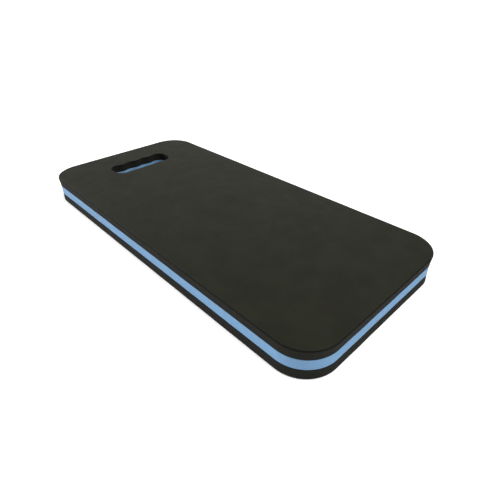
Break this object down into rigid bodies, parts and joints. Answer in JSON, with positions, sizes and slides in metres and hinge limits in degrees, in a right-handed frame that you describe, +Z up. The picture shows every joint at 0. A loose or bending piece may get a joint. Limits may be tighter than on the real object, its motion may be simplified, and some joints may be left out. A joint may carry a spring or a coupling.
{
  "type": "kneeling pad",
  "caption": "Rectangular foam kneeling pad with rounded corners, laminated black, blue and black, with a finger-scalloped carrying slot through one end.",
  "frame": {"origin": "centre of the underside, where the pad rests on the ground", "axes": "+X along the pad's length towards the end with the hand slot, +Y across its width, +Z up out of the kneeling face"},
  "size_m": [0.45, 0.208, 0.032],
  "materials": {
    "black_foam": "closed-cell EVA foam, satin-matte skin, cut edges slightly duller",
    "blue_foam": "closed-cell EVA foam, matte die-cut edge",
    "bond_film": "thin heat-set adhesive film, seen only as a hairline"
  },
  "bodies": {
    "root": {"top_sheet": "black_foam", "upper_bond_film": "bond_film", "core_sheet": "blue_foam", "lower_bond_film": "bond_film", "bottom_sheet": "black_foam"}
  },
  "joints": []
}
